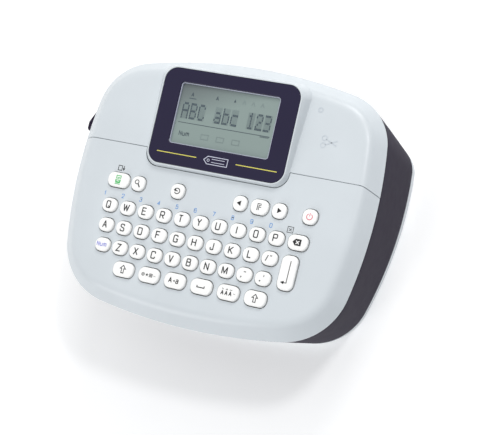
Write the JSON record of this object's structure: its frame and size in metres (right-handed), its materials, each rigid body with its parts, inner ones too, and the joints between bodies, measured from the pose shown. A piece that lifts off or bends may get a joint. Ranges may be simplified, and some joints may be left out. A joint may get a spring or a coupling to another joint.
{
  "type": "label maker",
  "caption": "Hand-held label maker with raised tilted display, full letter keyboard, pressed cutter button, tape bay and removable back cover.",
  "frame": {"origin": "on the flat back face, at the centre line of the case and between its upper and lower edges", "axes": "+X to the right of the keyboard, +Y up the keyboard towards the display, +Z out of the key face"},
  "size_m": [0.1383, 0.1131, 0.0619],
  "materials": {
    "panel_light": "satin moulded",
    "case_charcoal": "fine texture",
    "display_navy": "gloss",
    "lcd_grey_green": "satin",
    "key_white": "satin moulded",
    "board_green": "solder mask",
    "rubber_grey": "matte",
    "rubber_black": "matte",
    "steel": "brushed",
    "brass": "satin",
    "cassette_black": "satin moulded",
    "cell_jacket": "printed sleeve"
  },
  "bodies": {
    "case": {"keyboard_panel": "panel_light", "upper_cover": "panel_light", "display_bezel": "display_navy", "lcd_panel": "lcd_grey_green", "body_shell": "case_charcoal", "main_board": "board_green", "keypad_mat": "rubber_grey", "tape_cassette": "cassette_black", "print_head": "steel", "drive_motor": "steel", "battery_cells": "cell_jacket"},
    "back_cover": {"back_cover": "panel_light"},
    "cutter_button": {"cutter_button": "case_charcoal"},
    "platen_roller": {"platen_roller": "rubber_black"},
    "motor_pinion": {"motor_pinion": "brass"},
    "key_print": {"key_print": "key_white"},
    "key_find": {"key_find": "key_white"},
    "key_recall": {"key_recall": "key_white"},
    "key_left": {"key_left": "key_white"},
    "key_function": {"key_function": "key_white"},
    "key_right": {"key_right": "key_white"},
    "key_power": {"key_power": "key_white"},
    "key_q": {"key_q": "key_white"},
    "key_w": {"key_w": "key_white"},
    "key_e": {"key_e": "key_white"},
    "key_r": {"key_r": "key_white"},
    "key_t": {"key_t": "key_white"},
    "key_y": {"key_y": "key_white"},
    "key_u": {"key_u": "key_white"},
    "key_i": {"key_i": "key_white"},
    "key_o": {"key_o": "key_white"},
    "key_p": {"key_p": "key_white"},
    "key_a": {"key_a": "key_white"},
    "key_s": {"key_s": "key_white"},
    "key_d": {"key_d": "key_white"},
    "key_f": {"key_f": "key_white"},
    "key_g": {"key_g": "key_white"},
    "key_h": {"key_h": "key_white"},
    "key_j": {"key_j": "key_white"},
    "key_k": {"key_k": "key_white"},
    "key_l": {"key_l": "key_white"},
    "key_slash": {"key_slash": "key_white"},
    "key_num": {"key_num": "key_white"},
    "key_z": {"key_z": "key_white"},
    "key_x": {"key_x": "key_white"},
    "key_c": {"key_c": "key_white"},
    "key_v": {"key_v": "key_white"},
    "key_b": {"key_b": "key_white"},
    "key_n": {"key_n": "key_white"},
    "key_m": {"key_m": "key_white"},
    "key_comma": {"key_comma": "key_white"},
    "key_dot": {"key_dot": "key_white"},
    "key_backspace": {"key_backspace": "key_white"},
    "key_enter": {"key_enter": "key_white"},
    "key_shift_left": {"key_shift_left": "key_white"},
    "key_symbol": {"key_symbol": "key_white"},
    "key_caps": {"key_caps": "key_white"},
    "key_space": {"key_space": "key_white"},
    "key_accent": {"key_accent": "key_white"},
    "key_shift_right": {"key_shift_right": "key_white"}
  },
  "joints": [
    {"name": "back_cover_release", "type": "slide", "parent": "case", "child": "back_cover", "axis": [0, 0, -1], "range_m": [0, 0.03]},
    {"name": "cutter_press", "type": "slide", "parent": "case", "child": "cutter_button", "axis": [1, 0, 0], "range_m": [0, 0.004], "stiffness_N_per_m": 1500},
    {"name": "platen_spin", "type": "hinge", "parent": "case", "child": "platen_roller", "pos_m": [-0.05, 0.024, 0.016], "axis": [0, 0, 1], "continuous": true},
    {"name": "pinion_spin", "type": "hinge", "parent": "case", "child": "motor_pinion", "pos_m": [-0.038, 0.024, 0.03], "axis": [0, 0, 1], "continuous": true},
    {"name": "key_print_press", "type": "slide", "parent": "case", "child": "key_print", "axis": [0, 0, -1], "range_m": [0, 0.001], "stiffness_N_per_m": 600},
    {"name": "key_find_press", "type": "slide", "parent": "case", "child": "key_find", "axis": [0, 0, -1], "range_m": [0, 0.001], "stiffness_N_per_m": 600},
    {"name": "key_recall_press", "type": "slide", "parent": "case", "child": "key_recall", "axis": [0, 0, -1], "range_m": [0, 0.001], "stiffness_N_per_m": 600},
    {"name": "key_left_press", "type": "slide", "parent": "case", "child": "key_left", "axis": [0, 0, -1], "range_m": [0, 0.001], "stiffness_N_per_m": 600},
    {"name": "key_function_press", "type": "slide", "parent": "case", "child": "key_function", "axis": [0, 0, -1], "range_m": [0, 0.001], "stiffness_N_per_m": 600},
    {"name": "key_right_press", "type": "slide", "parent": "case", "child": "key_right", "axis": [0, 0, -1], "range_m": [0, 0.001], "stiffness_N_per_m": 600},
    {"name": "key_power_press", "type": "slide", "parent": "case", "child": "key_power", "axis": [0, 0, -1], "range_m": [0, 0.001], "stiffness_N_per_m": 600},
    {"name": "key_q_press", "type": "slide", "parent": "case", "child": "key_q", "axis": [0, 0, -1], "range_m": [0, 0.001], "stiffness_N_per_m": 600},
    {"name": "key_w_press", "type": "slide", "parent": "case", "child": "key_w", "axis": [0, 0, -1], "range_m": [0, 0.001], "stiffness_N_per_m": 600},
    {"name": "key_e_press", "type": "slide", "parent": "case", "child": "key_e", "axis": [0, 0, -1], "range_m": [0, 0.001], "stiffness_N_per_m": 600},
    {"name": "key_r_press", "type": "slide", "parent": "case", "child": "key_r", "axis": [0, 0, -1], "range_m": [0, 0.001], "stiffness_N_per_m": 600},
    {"name": "key_t_press", "type": "slide", "parent": "case", "child": "key_t", "axis": [0, 0, -1], "range_m": [0, 0.001], "stiffness_N_per_m": 600},
    {"name": "key_y_press", "type": "slide", "parent": "case", "child": "key_y", "axis": [0, 0, -1], "range_m": [0, 0.001], "stiffness_N_per_m": 600},
    {"name": "key_u_press", "type": "slide", "parent": "case", "child": "key_u", "axis": [0, 0, -1], "range_m": [0, 0.001], "stiffness_N_per_m": 600},
    {"name": "key_i_press", "type": "slide", "parent": "case", "child": "key_i", "axis": [0, 0, -1], "range_m": [0, 0.001], "stiffness_N_per_m": 600},
    {"name": "key_o_press", "type": "slide", "parent": "case", "child": "key_o", "axis": [0, 0, -1], "range_m": [0, 0.001], "stiffness_N_per_m": 600},
    {"name": "key_p_press", "type": "slide", "parent": "case", "child": "key_p", "axis": [0, 0, -1], "range_m": [0, 0.001], "stiffness_N_per_m": 600},
    {"name": "key_a_press", "type": "slide", "parent": "case", "child": "key_a", "axis": [0, 0, -1], "range_m": [0, 0.001], "stiffness_N_per_m": 600},
    {"name": "key_s_press", "type": "slide", "parent": "case", "child": "key_s", "axis": [0, 0, -1], "range_m": [0, 0.001], "stiffness_N_per_m": 600},
    {"name": "key_d_press", "type": "slide", "parent": "case", "child": "key_d", "axis": [0, 0, -1], "range_m": [0, 0.001], "stiffness_N_per_m": 600},
    {"name": "key_f_press", "type": "slide", "parent": "case", "child": "key_f", "axis": [0, 0, -1], "range_m": [0, 0.001], "stiffness_N_per_m": 600},
    {"name": "key_g_press", "type": "slide", "parent": "case", "child": "key_g", "axis": [0, 0, -1], "range_m": [0, 0.001], "stiffness_N_per_m": 600},
    {"name": "key_h_press", "type": "slide", "parent": "case", "child": "key_h", "axis": [0, 0, -1], "range_m": [0, 0.001], "stiffness_N_per_m": 600},
    {"name": "key_j_press", "type": "slide", "parent": "case", "child": "key_j", "axis": [0, 0, -1], "range_m": [0, 0.001], "stiffness_N_per_m": 600},
    {"name": "key_k_press", "type": "slide", "parent": "case", "child": "key_k", "axis": [0, 0, -1], "range_m": [0, 0.001], "stiffness_N_per_m": 600},
    {"name": "key_l_press", "type": "slide", "parent": "case", "child": "key_l", "axis": [0, 0, -1], "range_m": [0, 0.001], "stiffness_N_per_m": 600},
    {"name": "key_slash_press", "type": "slide", "parent": "case", "child": "key_slash", "axis": [0, 0, -1], "range_m": [0, 0.001], "stiffness_N_per_m": 600},
    {"name": "key_num_press", "type": "slide", "parent": "case", "child": "key_num", "axis": [0, 0, -1], "range_m": [0, 0.001], "stiffness_N_per_m": 600},
    {"name": "key_z_press", "type": "slide", "parent": "case", "child": "key_z", "axis": [0, 0, -1], "range_m": [0, 0.001], "stiffness_N_per_m": 600},
    {"name": "key_x_press", "type": "slide", "parent": "case", "child": "key_x", "axis": [0, 0, -1], "range_m": [0, 0.001], "stiffness_N_per_m": 600},
    {"name": "key_c_press", "type": "slide", "parent": "case", "child": "key_c", "axis": [0, 0, -1], "range_m": [0, 0.001], "stiffness_N_per_m": 600},
    {"name": "key_v_press", "type": "slide", "parent": "case", "child": "key_v", "axis": [0, 0, -1], "range_m": [0, 0.001], "stiffness_N_per_m": 600},
    {"name": "key_b_press", "type": "slide", "parent": "case", "child": "key_b", "axis": [0, 0, -1], "range_m": [0, 0.001], "stiffness_N_per_m": 600},
    {"name": "key_n_press", "type": "slide", "parent": "case", "child": "key_n", "axis": [0, 0, -1], "range_m": [0, 0.001], "stiffness_N_per_m": 600},
    {"name": "key_m_press", "type": "slide", "parent": "case", "child": "key_m", "axis": [0, 0, -1], "range_m": [0, 0.001], "stiffness_N_per_m": 600},
    {"name": "key_comma_press", "type": "slide", "parent": "case", "child": "key_comma", "axis": [0, 0, -1], "range_m": [0, 0.001], "stiffness_N_per_m": 600},
    {"name": "key_dot_press", "type": "slide", "parent": "case", "child": "key_dot", "axis": [0, 0, -1], "range_m": [0, 0.001], "stiffness_N_per_m": 600},
    {"name": "key_backspace_press", "type": "slide", "parent": "case", "child": "key_backspace", "axis": [0, 0, -1], "range_m": [0, 0.001], "stiffness_N_per_m": 600},
    {"name": "key_enter_press", "type": "slide", "parent": "case", "child": "key_enter", "axis": [0, 0, -1], "range_m": [0, 0.001], "stiffness_N_per_m": 600},
    {"name": "key_shift_left_press", "type": "slide", "parent": "case", "child": "key_shift_left", "axis": [0, 0, -1], "range_m": [0, 0.001], "stiffness_N_per_m": 600},
    {"name": "key_symbol_press", "type": "slide", "parent": "case", "child": "key_symbol", "axis": [0, 0, -1], "range_m": [0, 0.001], "stiffness_N_per_m": 600},
    {"name": "key_caps_press", "type": "slide", "parent": "case", "child": "key_caps", "axis": [0, 0, -1], "range_m": [0, 0.001], "stiffness_N_per_m": 600},
    {"name": "key_space_press", "type": "slide", "parent": "case", "child": "key_space", "axis": [0, 0, -1], "range_m": [0, 0.001], "stiffness_N_per_m": 600},
    {"name": "key_accent_press", "type": "slide", "parent": "case", "child": "key_accent", "axis": [0, 0, -1], "range_m": [0, 0.001], "stiffness_N_per_m": 600},
    {"name": "key_shift_right_press", "type": "slide", "parent": "case", "child": "key_shift_right", "axis": [0, 0, -1], "range_m": [0, 0.001], "stiffness_N_per_m": 600}
  ],
  "couplings": [
    {"joint": "pinion_spin", "follows": "platen_spin", "ratio": -2}
  ]
}
